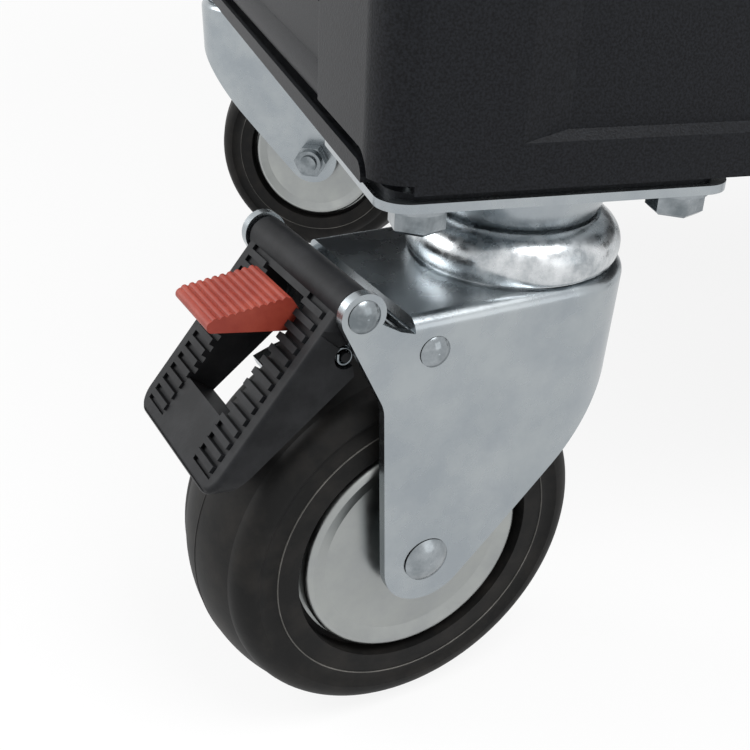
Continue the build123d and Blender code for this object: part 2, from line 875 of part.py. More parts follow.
half_tyre = tyre_width / 2
shoulder_r = wheel_radius - tread_crown - shoulder_radius
tread_edge = half_tyre - shoulder_radius
shoulder_mid = shoulder_radius * (1 - sqrt(0.5))
ring_outer = side_ring_outer_diameter / 2
ring_inner = side_ring_inner_diameter / 2
tyre_bore = tyre_bore_diameter / 2
core_edge = half_tyre - side_groove_depth
tyre_side = [
    (core_edge, tyre_bore),
    (core_edge, ring_inner),
    (half_tyre - side_ring_inset, ring_inner),
    (half_tyre - side_ring_inset, ring_outer),
    (half_tyre, shoulder_r),
    (tread_edge, wheel_radius - tread_crown),
]
side_bends = [
    None,
    None,
    None,
    (half_tyre - sidewall_dip, (ring_outer + shoulder_r) / 2),
    (half_tyre - shoulder_mid, wheel_radius - tread_crown - shoulder_mid),
]


def both_sides(points, bends):
    """A whole wheel section from its +Y half: its points in order, and its bent stretches by their ends."""
    mirrored = [(-across, radius) for across, radius in reversed(points)]
    arcs = {}
    for start, end, bend in zip(points, points[1:], bends):
        if bend:
            arcs[(start, end)] = bend
            arcs[((-end[0], end[1]), (-start[0], start[1]))] = (-bend[0], bend[1])
    return points + mirrored, arcs


tyre_points, tyre_arcs = both_sides(tyre_side, side_bends)
tyre_arcs[(tyre_side[-1], (-tread_edge, wheel_radius - tread_crown))] = (0, wheel_radius)
tyre = turned(tyre_points, tyre_arcs)

disc_radius = disc_diameter / 2
core_radius = tyre_bore - tyre_fit
boss_radius = hub_boss_diameter / 2
hub_bore = axle_diameter / 2 + axle_running_fit
rim_mid = disc_rim_round * (1 - sqrt(0.5))
disc_side = [
    (hub_boss_offset, hub_bore),
    (hub_boss_offset, boss_radius),
    (disc_rim_offset - disc_dish, boss_radius + disc_dish),
    (disc_rim_offset - disc_dish, disc_radius * disc_flat_share),
    (disc_rim_offset, disc_radius - disc_rim_round),
    (disc_rim_offset - disc_rim_round, disc_radius),
    (core_edge, disc_radius),
    (core_edge, core_radius),
]
disc_bends = [None, None, None, None, (disc_rim_offset - rim_mid, disc_radius - rim_mid), None, None]
hub = turned(*both_sides(disc_side, disc_bends))

# Swivel caster: plate with its pressed cup, kingpin, ring, fork, axle and rivets
caster_place = {
    "rear": Location((swivel_x, swivel_y, 0), (0, 0, rear_caster_turn)),
    "front": Location((swivel_x, -swivel_y, 0), (0, 0, front_caster_turn)),
}
rigid_places = {
    "rear": Location((-swivel_x, swivel_y, 0)),
    "front": Location((-swivel_x, -swivel_y, 0)),
}

plate_bottom = plate_level - plate_thickness
cup_upper = cup_top_diameter / 2
cup_lower = cup_bottom_diameter / 2
cup_middle = ((cup_upper + cup_lower) / 2 + cup_bow, (plate_bottom + cup_bottom) / 2 - cup_bow)
with BuildPart() as cup:
    with BuildSketch(Plane.XZ):
        with BuildLine():
            Polyline((cup_upper, plate_bottom), (0, plate_bottom), (0, cup_bottom), (cup_lower, cup_bottom))
            ThreePointArc((cup_lower, cup_bottom), cup_middle, (cup_upper, plate_bottom))
        make_face()
    revolve(axis=Axis.Z)

with BuildPart() as swivel_plates:
    for sign in (-1, 1):
        with BuildSketch(Plane(origin=(swivel_x, sign * swivel_y, plate_bottom))):
            RectangleRounded(plate_length, plate_width, plate_corner)
            with GridLocations(plate_bolt_spacing_x, plate_bolt_spacing_y, 2, 2):
                Circle(plate_bolt_diameter / 2 + bolt_hole_clearance, mode=Mode.SUBTRACT)
        extrude(amount=plate_thickness)
        add(cup.part.moved(Location((swivel_x, sign * swivel_y, 0))))
        with BuildSketch(Plane(origin=(swivel_x, sign * swivel_y, cup_bottom))):
            Circle(kingpin_diameter / 2 + kingpin_running_fit)
        extrude(amount=plate_level - cup_bottom, mode=Mode.SUBTRACT)
save(swivel_plates.part, "swivel_plates")

crown_bottom = crown_top - crown_sheet
head_top = crown_bottom - head_clearance
with BuildPart() as kingpins:
    for sign in (-1, 1):
        with BuildSketch(Plane(origin=(swivel_x, sign * swivel_y, head_top - kingpin_head))):
            Circle(kingpin_head_diameter / 2)
        extrude(amount=kingpin_head)
        with BuildSketch(Plane(origin=(swivel_x, sign * swivel_y, head_top))):
            Circle(kingpin_diameter / 2)
        extrude(amount=plate_level - head_top)
save(kingpins.part, "kingpins")

washer_bottom = plate_bottom - washer_thickness
with BuildPart() as plate_washers:
    with BuildSketch(Plane.XY.offset(washer_bottom)):
        with Locations(*bolt_places):
            Circle(washer_diameter / 2)
            Circle(plate_bolt_diameter / 2 + bolt_hole_clearance, mode=Mode.SUBTRACT)
    extrude(amount=washer_thickness)
save(plate_washers.part, "plate_washers")

with BuildPart() as plate_bolts:
    with BuildSketch(Plane.XY.offset(washer_bottom - plate_bolt_head_height)):
        with Locations(*bolt_places):
            RegularPolygon(plate_bolt_head / 2, 6, major_radius=False, rotation=plate_bolt_turn)
    extrude(amount=plate_bolt_head_height)
    chamfer(plate_bolts.faces().group_by(Axis.Z)[0].edges(), length=plate_bolt_chamfer)
    with BuildSketch(Plane.XY.offset(washer_bottom)):
        with Locations(*bolt_places):
            Circle(plate_bolt_diameter / 2)
    extrude(amount=washer_thickness + plate_thickness + pan_pad + pan_sheet + plate_bolt_reach)
save(plate_bolts.part, "plate_bolts")

kingpin_bore = kingpin_diameter / 2 + kingpin_running_fit
with BuildPart() as swivel_ring:
    with BuildSketch(Plane.XZ):
        race_level = cup_bottom - ring_race_clearance
        mouth_radius = ring_mouth_diameter / 2
        ring_radius = ring_diameter / 2
        mouth_top = (mouth_radius + ring_bulge, ring_top)
        rim_low = (ring_radius - ring_undercut_depth, crown_top)
        rim_step = (ring_radius - ring_undercut_depth, crown_top + ring_undercut)
        rim = (ring_radius, crown_top + ring_undercut)
        belly = (ring_radius + ring_bulge, crown_top + ring_height * ring_belly_share)
        with BuildLine():
            Polyline((kingpin_bore, crown_top), rim_low, rim_step, rim)
            ThreePointArc(rim, belly, mouth_top)
            Line(mouth_top, (mouth_radius, ring_top))
            Line((mouth_radius, ring_top), (mouth_radius, race_level))
            Line((mouth_radius, race_level), (kingpin_bore, race_level))
            Line((kingpin_bore, race_level), (kingpin_bore, crown_top))
        make_face()
    revolve(axis=Axis.Z)

fork_roof = pivot_z + ear_radius + fork_sheet
fork_floor = wheel_radius - tip_drop - tip_radius - fork_sheet
hanging_plane = Plane(origin=(0, 0, fork_roof), x_dir=(1, 0, 0), z_dir=(0, 0, -1))
fork_front = pivot_x + 2 * ear_radius


def fork_plan(half, front):
    """The fork from above: straight sides joined by a half circle just behind the swivel axis."""
    with BuildSketch() as plan:
        with Locations((-fork_rear_shift, 0)):
            Circle(half)
            Rectangle(front + fork_rear_shift, 2 * half, align=(Align.MIN, Align.CENTER))
    return plan.sketch


def cross_hole(x, z, radius):
    """A bar right across the fork at a place in its side view, for cutting a hole."""
    with BuildPart() as bar:
        with BuildSketch(Plane.XZ):
            with Locations((x, z)):
                Circle(radius)
        extrude(amount=2 * fork_half_width, both=True)
    return bar.part


pivot = (pivot_x, pivot_z)
tip_x = trail - tip_back
tip_z = wheel_radius - tip_drop
tip_rear = on_circle(tip_x, tip_z, tip_radius, tip_rear_angle)
tip_low = on_circle(tip_x, tip_z, tip_radius, 270)
tip_front = on_circle(tip_x, tip_z, tip_radius, tip_front_angle)
ear_front = on_circle(pivot_x, pivot_z, ear_radius, ear_front_angle)
rear_x = -fork_half_width - fork_rear_shift - fork_sheet
rear_out = (rear_x, rear_back_z)
rear_top = (rear_x, crown_top - crown_bend_radius)
tip_heading = (sin(radians(tip_rear_angle)), -cos(radians(tip_rear_angle)))

with BuildPart() as crown:
    with BuildSketch(Plane(origin=(0, 0, crown_top), x_dir=(1, 0, 0), z_dir=(0, 0, -1))):
        add(fork_plan(fork_half_width, crown_front))
    extrude(amount=crown_depth, taper=fork_lean)
    crown_rim = crown.faces().sort_by(Axis.Z)[-1].edges()
    fillet(crown_rim.filter_by(Axis.X) + crown_rim.filter_by(GeomType.CIRCLE), radius=crown_bend_radius)
    with BuildSketch(Plane(origin=(0, 0, crown_bottom), x_dir=(1, 0, 0), z_dir=(0, 0, -1))):
        add(fork_plan(fork_half_at(crown_bottom) - fork_sheet, fork_front))
    extrude(amount=crown_depth, taper=fork_lean, mode=Mode.SUBTRACT)

wall_top = crown_top - crown_bend_radius
with BuildPart() as fork:
    with BuildSketch(hanging_plane):
        add(fork_plan(fork_half_at(fork_roof), fork_front))
    extrude(amount=fork_roof - fork_floor, taper=fork_lean)
    with BuildSketch(hanging_plane):
        add(fork_plan(fork_half_at(fork_roof) - fork_sheet, fork_front + 2 * fork_sheet))
    extrude(amount=fork_roof - fork_floor, taper=fork_lean, mode=Mode.SUBTRACT)
    with BuildSketch(Plane.XZ):
        with BuildLine():
            Polyline((crown_front, wall_top), rear_top, rear_out)
            TangentArc(tip_rear, rear_out, tangent=tip_heading)
            ThreePointArc(tip_rear, tip_low, tip_front)
            FilletPolyline(tip_front, (front_bend_x, front_bend_z), ear_front, radius=front_bend_radius)
            Polyline(ear_front, pivot, (notch_x, notch_z), (crown_front, wall_top))
        make_face()
        with Locations(pivot):
            Circle(ear_radius)
    extrude(amount=2 * fork_half_width, both=True, mode=Mode.INTERSECT)
    add(crown.part)
    with BuildSketch(Plane.XY.offset(crown_bottom)):
        Circle(kingpin_bore)
    extrude(amount=crown_sheet, mode=Mode.SUBTRACT)
    add(cross_hole(pivot_x, pivot_z, rivet_diameter / 2 + axle_running_fit), mode=Mode.SUBTRACT)
    add(cross_hole(stop_rivet_x, stop_rivet_z, rivet_diameter / 2 + axle_running_fit), mode=Mode.SUBTRACT)
    add(cross_hole(trail, wheel_radius, axle_diameter / 2 + axle_running_fit), mode=Mode.SUBTRACT)


def headed_pin(x, z, pin_radius, half_reach, head_radius, dome, ends):
    """A pin across the fork with a domed head at each end named in ends (+1 or -1 along Y)."""
    with BuildPart() as pin:
        with BuildSketch(Plane.XZ.offset(-half_reach)):
            with Locations((x, z)):
                Circle(pin_radius)
        extrude(amount=2 * half_reach)
        for end in ends:
            add(domed_head(head_radius, dome).moved(Location((x, end * half_reach, z), (-90 * end, 0, 0))))
    return pin.part


with BuildPart() as fork_rivets:
    for rivet_x, rivet_z in (pivot, (stop_rivet_x, stop_rivet_z)):
        reach = fork_half_at(rivet_z) + head_clearance
        add(
            headed_pin(
                rivet_x, rivet_z, rivet_diameter / 2, reach, rivet_head_diameter / 2, rivet_dome, (-1, 1)
            )
        )


def axle_set(x, half_reach):
    """Axle bolt with a domed head on the +Y side, and its lock nut on the other side as a separate solid."""
    nut_face = half_reach + axle_head_clearance
    tail = axle_nut_height + axle_nut_collar + axle_tail
    nut_bore = axle_diameter / 2 + axle_running_fit
    with BuildPart() as bolt_and_nut:
        add(headed_pin(x, wheel_radius, axle_diameter / 2, nut_face, axle_head_diameter / 2, axle_dome, (1,)))
        with BuildSketch(Plane.XZ.offset(nut_face)):
            with Locations((x, wheel_radius)):
                Circle(axle_diameter / 2)
        extrude(amount=tail)
        with BuildSketch(Plane.XZ.offset(nut_face)):
            with Locations((x, wheel_radius)):
                RegularPolygon(axle_nut_size / 2, 6, major_radius=False)
                Circle(nut_bore, mode=Mode.SUBTRACT)
        extrude(amount=axle_nut_height)
        with BuildSketch(Plane.XZ.offset(nut_face + axle_nut_height)):
            with Locations((x, wheel_radius)):
                Circle(axle_nut_size / 2 - axle_nut_collar_inset)
                Circle(nut_bore, mode=Mode.SUBTRACT)
        extrude(amount=axle_nut_collar)
    return bolt_and_nut.part


axle = axle_set(trail, fork_half_at(wheel_radius))

# Brake pedal: a moulded frame with skirts, a window, grip bars, a hinge barrel and a post for the spring
face_start = pedal_point(0, 0)
face_end = pedal_point(pedal_length, 0)
nose = (pedal_nose_x, pedal_nose_z)
heel = (pedal_heel_x, pedal_heel_z)
step = (pedal_step_x, pedal_step_z)
out_direction = Vector(pedal_out[0], 0, pedal_out[1])
face_plane = Plane(
    origin=(face_start[0], 0, face_start[1]),
    x_dir=(pedal_along[0], 0, pedal_along[1]),
    z_dir=(pedal_out[0], 0, pedal_out[1]),
)
pedal_deep = pedal_length
cavity_end = pedal_length - pedal_nose_wall
cavity_inner = window_half_width + pedal_wall
cavity_outer = pedal_half_width - pedal_wall
pin_bore = rivet_diameter / 2 + axle_running_fit
pocket_floor = pedal_half_width - spring_pocket_depth


def face_rectangle(start, end, inner, outer):
    """A rectangle in the pedal's face plane, between two distances along it and two distances across it."""
    with BuildSketch() as patch:
        with Locations(((start + end) / 2, (inner + outer) / 2)):
            Rectangle(end - start, outer - inner)
    return patch.sketch


grip_pitch = (grip_end - grip_start) / grip_bars
grip_starts = [grip_start + (number + 0.5 - grip_bar_share / 2) * grip_pitch for number in range(grip_bars)]
grip_width = grip_bar_share * grip_pitch

with BuildPart() as pedal:
    with BuildSketch(Plane.XZ):
        with BuildLine():
            Polyline(face_start, face_end, nose, heel, step, pivot, close=True)
        make_face()
        with Locations(pivot):
            Circle(pedal_barrel_radius)
    extrude(amount=pedal_half_width, both=True)
    nose_corners = [
        edge
        for edge in pedal.edges()
        if edge.center().X > pedal_nose_x
        and abs(edge.center().Y) > cavity_outer
        and edge.center().Z < face_end[1]
    ]
    fillet(nose_corners, radius=pedal_corner_radius)
    face_sides = [
        edge
        for face in pedal.faces().filter_by(GeomType.PLANE)
        if face.normal_at().dot(out_direction) > cos(radians(1))
        for edge in face.edges()
        if edge.center().X > face_start[0] + pedal_barrel_radius
    ]
    fillet(face_sides, radius=pedal_edge_radius)
    with BuildSketch(face_plane.offset(pedal_edge_radius)):
        add(face_rectangle(window_start, window_end, -window_half_width, window_half_width))
    extrude(amount=-pedal_deep, mode=Mode.SUBTRACT)
    with BuildSketch(face_plane.offset(-pedal_plate)):
        add(face_rectangle(pedal_block, cavity_end, cavity_inner, cavity_outer))
        add(face_rectangle(pedal_block, cavity_end, -cavity_outer, -cavity_inner))
        add(face_rectangle(window_end + pedal_wall, cavity_end, -window_half_width, window_half_width))
    extrude(amount=-pedal_deep, mode=Mode.SUBTRACT)
    for side in (-1, 1):
        strip_edges = sorted((side * window_half_width, side * (grip_outer + grip_margin)))
        bar_edges = sorted((side * window_half_width, side * grip_outer))
        with BuildSketch(face_plane):
            add(face_rectangle(grip_start - grip_margin, grip_end + grip_margin, *strip_edges))
        extrude(amount=-grip_recess, mode=Mode.SUBTRACT)
        with BuildSketch(face_plane.offset(-grip_recess)):
            for start in grip_starts:
                add(face_rectangle(start, start + grip_width, *bar_edges))
        extrude(amount=grip_recess + grip_height)
    with BuildSketch(face_plane):
        groove_start = pedal_length - groove_inset - groove_width
        add(face_rectangle(groove_start, groove_start + groove_width, -pedal_half_width, pedal_half_width))
    extrude(amount=-groove_depth, mode=Mode.SUBTRACT)
    with BuildSketch(Plane.XZ):
        with Locations(pivot):
            Circle(lever_eye_radius + lever_clearance)
        with Locations((pivot_x, (heel[1] - pedal_heel_drop + pivot_z) / 2)):
            Rectangle(2 * (lever_eye_radius + lever_clearance), pivot_z - heel[1] + pedal_heel_drop)
    extrude(amount=lever_half_width + lever_clearance, both=True, mode=Mode.SUBTRACT)
    for side in (-1, 1):
        with BuildSketch(Plane.XZ.offset(-side * (pedal_half_width - slit_depth))):
            with BuildLine():
                Polyline(step, (slit_end_x, slit_end_z), (pivot_x, pivot_z - pedal_barrel_radius), close=True)
            make_face()
        extrude(amount=-side * 2 * slit_depth, mode=Mode.SUBTRACT)
        with BuildSketch(Plane.XZ.offset(-side * pocket_floor)):
            with Locations((spring_x, spring_z)):
                Circle(spring_pocket_radius)
        extrude(amount=-side * 2 * spring_pocket_depth, mode=Mode.SUBTRACT)
    with BuildSketch(Plane.XZ.offset(-pocket_floor)):
        with Locations((spring_x, spring_z)):
            Circle(spring_post_radius)
    extrude(amount=-spring_pocket_depth)
    add(cross_hole(pivot_x, pivot_z, pin_bore), mode=Mode.SUBTRACT)
    with BuildSketch(Plane.XZ):
        with Locations((tab_pivot_x, tab_pivot_z)):
            Circle(trunnion_radius + axle_running_fit)
    extrude(amount=window_half_width + trunnion_reach + head_clearance, both=True, mode=Mode.SUBTRACT)

# Release tab: a ribbed wedge on two trunnions in the window's walls
shoulder = Vector(tab_shoulder_x, tab_shoulder_z)
tip = Vector(tab_tip_x, tab_tip_z)
tab_up = (tip - shoulder).normalized().rotate(Axis.Z, 90)
rib_line_start = shoulder + tab_up * (tab_shoulder_radius - tab_rib_sink)
rib_line_end = tip + tab_up * (tab_tip_radius - tab_rib_sink)
with BuildPart() as release_tab:
    with BuildSketch(Plane.XZ):
        with Locations((tab_pivot_x, tab_pivot_z)):
            Circle(tab_root_radius)
        with Locations(shoulder):
            Circle(tab_shoulder_radius)
        with Locations(tip):
            Circle(tab_tip_radius)
        make_hull()
        for number in range(tab_ribs):
            share = (number + 0.5) / tab_ribs
            with Locations(rib_line_start + (rib_line_end - rib_line_start) * share):
                Circle(tab_rib_radius)
    extrude(amount=tab_half_width, both=True)
    with BuildSketch(Plane.XZ):
        with Locations((tab_pivot_x, tab_pivot_z)):
            Circle(trunnion_radius)
    extrude(amount=window_half_width + trunnion_reach, both=True)

# Brake lever: an eye on the pedal's pin and an arm down to a shoe that meets the tread at the travel's end
swing = radians(brake_travel)
axle_from_pivot = (trail - pivot_x, wheel_radius - pivot_z)
shoe_x = pivot_x + axle_from_pivot[0] * cos(swing) - axle_from_pivot[1] * sin(swing)
shoe_z = pivot_z + axle_from_pivot[0] * sin(swing) + axle_from_pivot[1] * cos(swing)
shoe_inner = wheel_radius + shoe_gap
shoe_outer = shoe_inner + shoe_thickness
shoe_middle = (shoe_front_angle + shoe_rear_angle) / 2
shoe_angles = (shoe_front_angle, shoe_rear_angle)
with BuildPart() as brake_lever:
    with BuildSketch(Plane.XZ):
        with Locations(pivot):
            Circle(lever_eye_radius)
        with Locations((pivot_x, (lever_arm_low + pivot_z) / 2)):
            Rectangle(lever_arm_width, pivot_z - lever_arm_low)
        with Locations(pivot):
            Circle(pin_bore, mode=Mode.SUBTRACT)
    extrude(amount=lever_half_width, both=True)
    with BuildSketch(Plane.XZ):
        with BuildLine():
            inner_ends = [on_circle(shoe_x, shoe_z, shoe_inner, angle) for angle in shoe_angles]
            outer_ends = [on_circle(shoe_x, shoe_z, shoe_outer, angle) for angle in shoe_angles]
            ThreePointArc(inner_ends[0], on_circle(shoe_x, shoe_z, shoe_inner, shoe_middle), inner_ends[1])
            Line(inner_ends[1], outer_ends[1])
            ThreePointArc(outer_ends[1], on_circle(shoe_x, shoe_z, shoe_outer, shoe_middle), outer_ends[0])
            Line(outer_ends[0], inner_ends[0])
        make_face()
    extrude(amount=shoe_half_width, both=True)

# Brake return spring: a wound wire on the post, drawn as short arcs that run smoothly into one another
spring_start_y = pocket_floor + spring_end_clearance + spring_wire / 2


def coil_point(turn):
    """The middle of the wire after a number of turns."""
    angle = 2 * pi * turn
    return Vector(
        spring_x + spring_mean_radius * cos(angle),
        spring_start_y + spring_pitch * turn,
        spring_z + spring_mean_radius * sin(angle),
    )


def coil_heading(turn):
    """The direction in which the wire runs after a number of turns."""
    angle = 2 * pi * turn
    across = 2 * pi * spring_mean_radius
    return Vector(-across * sin(angle), spring_pitch, across * cos(angle)).normalized()


def arc_joint(start, end, start_heading, end_heading):
    """Where two arcs meet that leave start and reach end along given headings, and the heading there."""
    chord = end - start
    headings = start_heading + end_heading
    spread = 2 * (1 - start_heading.dot(end_heading))
    along = chord.dot(headings)
    reach = (sqrt(along**2 + spread * chord.dot(chord)) - along) / spread
    first = start + start_heading * reach
    second = end - end_heading * reach
    return (first + second) * 0.5, (second - first).normalized()


quarter_turns = [number / 4 for number in range(4 * spring_turns + 1)]
with BuildPart() as brake_spring:
    with BuildLine() as wire_line:
        Line(coil_point(0) - coil_heading(0) * spring_tail, coil_point(0))
        for here, there in zip(quarter_turns, quarter_turns[1:]):
            joint, joint_heading = arc_joint(
                coil_point(here), coil_point(there), coil_heading(here), coil_heading(there)
            )
            TangentArc(coil_point(here), joint, tangent=coil_heading(here))
            TangentArc(joint, coil_point(there), tangent=joint_heading)
        Line(coil_point(spring_turns), coil_point(spring_turns) + coil_heading(spring_turns) * spring_tail)
    with BuildSketch(Plane(origin=wire_line.line @ 0, z_dir=wire_line.line % 0)):
        Circle(spring_wire / 2)
    sweep()

wire_points = [coil_point(number / 40) for number in range(40 * spring_turns + 1)]
coil_gap = min((b - a).length for i, a in enumerate(wire_points) for b in wire_points[i + 20 :]) - spring_wire
print(f"least gap between the spring's turns: {coil_gap:.2f} mm")

# Swivel casters in place, each turned as it stands on the floor
for name, place in caster_place.items():
    save(fork.part.moved(place), f"{name}_caster_fork")
    save(swivel_ring.part.moved(place), f"{name}_caster_ring")
    save(axle.moved(place), f"{name}_caster_axle")
    save(fork_rivets.part.moved(place), f"{name}_caster_rivets")
    save(pedal.part.moved(place), f"{name}_brake_pedal")
    save(brake_lever.part.moved(place), f"{name}_brake_lever")
    save(brake_spring.part.moved(place), f"{name}_brake_spring")
    save(release_tab.part.moved(place), f"{name}_release_tab")
    save(tyre.moved(place * Location((trail, 0, 0))), f"{name}_caster_tyre")
    save(hub.moved(place * Location((trail, 0, 0))), f"{name}_caster_hub")

# Rigid casters at the other end
with BuildPart() as rigid_forks:
    for sign in (-1, 1):
        with BuildSketch(Plane(origin=(-swivel_x, sign * swivel_y, plate_bottom))):
            RectangleRounded(plate_length, plate_width, plate_corner)
            with GridLocations(plate_bolt_spacing_x, plate_bolt_spacing_y, 2, 2):
                Circle(plate_bolt_diameter / 2 + bolt_hole_clearance, mode=Mode.SUBTRACT)
        extrude(amount=plate_thickness)
        for side in (-1, 1):
            with BuildSketch(Plane.XZ.offset(-sign * swivel_y - side * rigid_leg_half_gap)):
                with Locations((-swivel_x, wheel_radius)):
                    Circle(rigid_tip_radius)
                with Locations((-swivel_x, plate_bottom - fork_sheet / 2)):
                    Rectangle(rigid_leg_top, fork_sheet)
                make_hull()
                with Locations((-swivel_x, wheel_radius)):
                    Circle(axle_diameter / 2 + axle_running_fit, mode=Mode.SUBTRACT)
            extrude(amount=-side * fork_sheet)
save(rigid_forks.part, "rigid_forks")

with BuildPart() as rigid_axles:
    for place in rigid_places.values():
        add(axle_set(0, rigid_leg_half_gap + fork_sheet).moved(place))
save(rigid_axles.part, "rigid_axles")

for name, place in rigid_places.items():
    save(tyre.moved(place), f"{name}_rigid_tyre")
    save(hub.moved(place), f"{name}_rigid_hub")
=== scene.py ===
import json
import math

import bpy
import numpy as np
from mathutils import Matrix, Vector


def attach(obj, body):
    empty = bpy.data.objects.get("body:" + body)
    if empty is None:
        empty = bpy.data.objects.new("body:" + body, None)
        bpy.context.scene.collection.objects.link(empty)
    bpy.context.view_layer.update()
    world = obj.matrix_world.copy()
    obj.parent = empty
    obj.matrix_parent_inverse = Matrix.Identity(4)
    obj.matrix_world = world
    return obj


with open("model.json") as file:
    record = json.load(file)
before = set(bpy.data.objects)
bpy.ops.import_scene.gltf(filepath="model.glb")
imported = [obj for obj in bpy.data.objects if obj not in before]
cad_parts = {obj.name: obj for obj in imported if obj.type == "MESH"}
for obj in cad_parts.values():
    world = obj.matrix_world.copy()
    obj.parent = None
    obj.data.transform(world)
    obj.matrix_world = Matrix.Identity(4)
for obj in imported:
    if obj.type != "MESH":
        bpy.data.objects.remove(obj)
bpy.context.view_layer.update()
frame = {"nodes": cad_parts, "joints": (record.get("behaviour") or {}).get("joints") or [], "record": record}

# A rolling tool chest seen close to its braked rear caster. Lengths are in metres unless a name says mm.
MM = 0.001
IMAGE_SIZE = 750

# Camera: its place, its heading on the floor plan, tilt, roll and focal length in pixels
EYE = (0.41986, 0.48986, 0.27781)
HEADING = (-0.30113, -0.95358)
TILT_DOWN = math.radians(28.789)
ROLL = math.radians(2.646)
FOCAL_PIXELS = 1126.4
SENSOR = 36.0

# Moulding lines of the tyres
WHEEL_RADIUS = 63.5 * MM
PARTING_HALF_WIDTH = 0.35 * MM
PARTING_STAND = 0.15 * MM
FLASH_RADIUS = 47.0 * MM
FLASH_ACROSS = 23.8 * MM
FLASH_HALF_WIDTH = 0.28 * MM
FLASH_STAND = 0.2 * MM
ROUND_STEPS = 240
SECTION_STEPS = 10

# Surface relief and marks of the finishes
COAT_SHINE = 0.14
COAT_RELIEF = 0.12 * MM
DENT_SPACING_MM = 2.5
DUST_PATCH_MM = 12
GRAIN_RELIEF = 0.06 * MM


def srgb(code):
    """Turns a six-digit sRGB hex colour into linear RGBA."""
    values = [int(code[i : i + 2], 16) / 255 for i in (0, 2, 4)]
    return tuple(v / 12.92 if v <= 0.04045 else ((v + 0.055) / 1.055) ** 2.4 for v in values) + (1.0,)


def per_metre(size_mm):
    """Texture scale whose features are size_mm across."""
    return 1 / (size_mm * MM)


def add_node(tree, kind, inputs=None, stops=(), **settings):
    """Adds one shader node: its settings, its sockets set or linked by name, and a ramp's colour stops."""
    node = tree.nodes.new(kind)
    for name, value in settings.items():
        setattr(node, name, value)
    for socket, value in (inputs or {}).items():
        if isinstance(value, bpy.types.NodeSocket):
            tree.links.new(value, node.inputs[socket])
        else:
            node.inputs[socket].default_value = value
    for number, (place, code) in enumerate(stops):
        node.color_ramp.elements[number].position = place
        node.color_ramp.elements[number].color = srgb(code)
    return node


def start_material(name, constants):
    """A new material with one Principled shader, the constants on its sockets, and its Object coordinates."""
    material = bpy.data.materials.new(name)
    material.use_nodes = True
    tree = material.node_tree
    shader = tree.nodes["Principled BSDF"]
    for socket, value in constants.items():
        shader.inputs[socket].default_value = value
    where = add_node(tree, "ShaderNodeTexCoord").outputs["Object"]
    return material, tree, shader, where


def powder_coat(name, dark, light, roughness, pebble_mm):
    """Powder coat baked on sheet steel: fine pebbles, coloured darker where their relief is low as painted
    shade in the pits, drawn coarse enough to show.
    """
    constants = {"Roughness": roughness, "Specular IOR Level": COAT_SHINE}
    material, tree, shader, where = start_material(name, constants)
    pebble = {"Vector": where, "Scale": per_metre(pebble_mm), "Detail": 2}
    pebbles = add_node(tree, "ShaderNodeTexNoise", pebble).outputs["Fac"]
    # Painted shade: the colour darkens with the pebbles' depth, as shade in their pits
    tone = add_node(tree, "ShaderNodeValToRGB", {"Fac": pebbles}, [(0.35, dark), (0.65, light)])
    relief = {"Height": pebbles, "Distance": COAT_RELIEF, "Strength": 0.8}
    tree.links.new(tone.outputs["Color"], shader.inputs["Base Color"])
    tree.links.new(add_node(tree, "ShaderNodeBump", relief).outputs["Normal"], shader.inputs["Normal"])
    return material


def plated_metal(name, dark, light, smooth, dull, cloud_mm, dent_depth_mm=0.02):
    """Plated or anodised metal: cloudy where its skin is duller, and faintly dented from pressing."""
    material, tree, shader, where = start_material(name, {"Metallic": 1.0})
    cloud = {"Vector": where, "Scale": per_metre(cloud_mm), "Detail": 5, "Roughness": 0.6}
    clouds = add_node(tree, "ShaderNodeTexNoise", cloud).outputs["Fac"]
    # On the ring and the fasteners the dark and light clouds are painted reflections; on the other metals
    # they are a random tone of the plating
    tone = add_node(tree, "ShaderNodeValToRGB", {"Fac": clouds}, [(0.36, dark), (0.64, light)])
    film = {"Vector": where, "Scale": per_metre(cloud_mm / 2), "Detail": 4}
    haze = add_node(tree, "ShaderNodeTexNoise", film).outputs["Fac"]
    shine = {"Value": haze, "From Min": 0.35, "From Max": 0.65, "To Min": smooth, "To Max": dull}
    dent = {"Vector": where, "Scale": per_metre(DENT_SPACING_MM), "Detail": 3}
    dents = add_node(tree, "ShaderNodeTexNoise", dent).outputs["Fac"]
    relief = {"Height": dents, "Distance": dent_depth_mm * MM, "Strength": 0.5}
    tree.links.new(tone.outputs["Color"], shader.inputs["Base Color"])
    tree.links.new(add_node(tree, "ShaderNodeMapRange", shine).outputs["Result"], shader.inputs["Roughness"])
    tree.links.new(add_node(tree, "ShaderNodeBump", relief).outputs["Normal"], shader.inputs["Normal"])
    return material


def moulding(name, colour, dusty, roughness, shine, grain_mm):
    """Moulded plastic or rubber: an even eroded grain from the mould, with dry dust lying in patches."""
    constants = {"Roughness": roughness, "Specular IOR Level": shine}
    material, tree, shader, where = start_material(name, constants)
    dust = {"Vector": where, "Scale": per_metre(DUST_PATCH_MM), "Detail": 6, "Roughness": 0.65}
    patches = add_node(tree, "ShaderNodeTexNoise", dust).outputs["Fac"]
    tone = add_node(tree, "ShaderNodeValToRGB", {"Fac": patches}, [(0.42, colour), (0.72, dusty)])
    spark = {"Vector": where, "Scale": per_metre(grain_mm), "Detail": 3}
    grain = add_node(tree, "ShaderNodeTexNoise", spark).outputs["Fac"]
    relief = {"Height": grain, "Distance": GRAIN_RELIEF, "Strength": 0.5}
    tree.links.new(tone.outputs["Color"], shader.inputs["Base Color"])
    tree.links.new(add_node(tree, "ShaderNodeBump", relief).outputs["Normal"], shader.inputs["Normal"])
    return material
